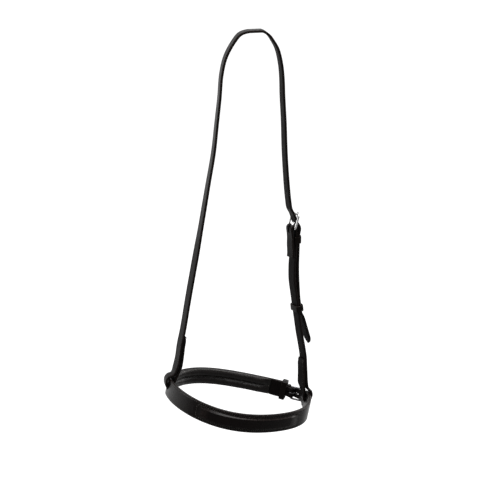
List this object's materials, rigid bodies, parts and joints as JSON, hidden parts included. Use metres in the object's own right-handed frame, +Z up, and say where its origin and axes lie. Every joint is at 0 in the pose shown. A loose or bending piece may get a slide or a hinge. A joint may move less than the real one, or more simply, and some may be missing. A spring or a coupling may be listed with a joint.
{
  "type": "bridle noseband",
  "caption": "Plain padded cavesson noseband: raised leather nosepiece and padded jaw strap with buckle, hung from a narrow buckled headstrap.",
  "frame": {"origin": "middle of the underside of the headstrap's crown, where it rests on the poll", "axes": "+Z up along the headstrap, -Y towards the nosepiece, +X towards the buckled near side, which is on the picture's right"},
  "size_m": [0.2234, 0.1766, 0.5754],
  "materials": {
    "bridle_leather": "dark, waxed, softly shining",
    "lining_leather": "soft, matt",
    "foam": "matt foam",
    "core": "raw core leather",
    "buckle_steel": "polished stainless steel"
  },
  "bodies": {
    "head_straps": {"headstrap": "bridle_leather", "cheek_strap": "bridle_leather", "headstrap_fixed_keeper": "bridle_leather"},
    "headstrap_buckle": {"headstrap_buckle_frame": "buckle_steel"},
    "headstrap_tongue": {"headstrap_buckle_tongue": "buckle_steel"},
    "headstrap_runner": {"headstrap_runner": "bridle_leather"},
    "noseband_ring": {"nosepiece_front": "bridle_leather", "nosepiece_filler": "core", "nosepiece_padding": "foam", "nosepiece_lining": "lining_leather", "jaw_strap": "bridle_leather", "jaw_padding_upper": "foam", "jaw_padding_lower": "foam", "jaw_lining": "lining_leather", "jaw_fixed_keeper": "bridle_leather"},
    "jaw_buckle": {"jaw_buckle_frame": "buckle_steel"},
    "jaw_tongue": {"jaw_buckle_tongue": "buckle_steel"},
    "jaw_runner": {"jaw_runner": "bridle_leather"}
  },
  "joints": [
    {"name": "noseband_swing", "type": "hinge", "parent": "head_straps", "child": "noseband_ring", "pos_m": [-0.0255, 0, -0.537], "axis": [0.9799, 0, -0.1994], "range_deg": [-8, 8]},
    {"name": "headstrap_buckle_tilt", "type": "hinge", "parent": "head_straps", "child": "headstrap_buckle", "pos_m": [0.05444, -0.00099, -0.2857], "axis": [-0.2791, 0.9603, 0], "range_deg": [-2, 2]},
    {"name": "headstrap_buckle_tongue_lift", "type": "hinge", "parent": "head_straps", "child": "headstrap_tongue", "pos_m": [0.05444, -0.00099, -0.2857], "axis": [-0.2791, 0.9603, 0], "range_deg": [0, 4]},
    {"name": "headstrap_runner_slide", "type": "slide", "parent": "head_straps", "child": "headstrap_runner", "axis": [-0.1204, -0.0486, 0.9915], "range_m": [0, 0.006]},
    {"name": "jaw_buckle_tilt", "type": "hinge", "parent": "noseband_ring", "child": "jaw_buckle", "pos_m": [0.06227, 0.0233, -0.55486], "axis": [0.1994, 0, 0.9799], "range_deg": [-2, 2]},
    {"name": "jaw_buckle_tongue_lift", "type": "hinge", "parent": "noseband_ring", "child": "jaw_tongue", "pos_m": [0.06227, 0.0233, -0.55486], "axis": [0.1994, 0, 0.9799], "range_deg": [0, 4]},
    {"name": "jaw_runner_slide", "type": "slide", "parent": "noseband_ring", "child": "jaw_runner", "axis": [0.8683, -0.4636, -0.1766], "range_m": [-0.006, 0.0005]}
  ]
}
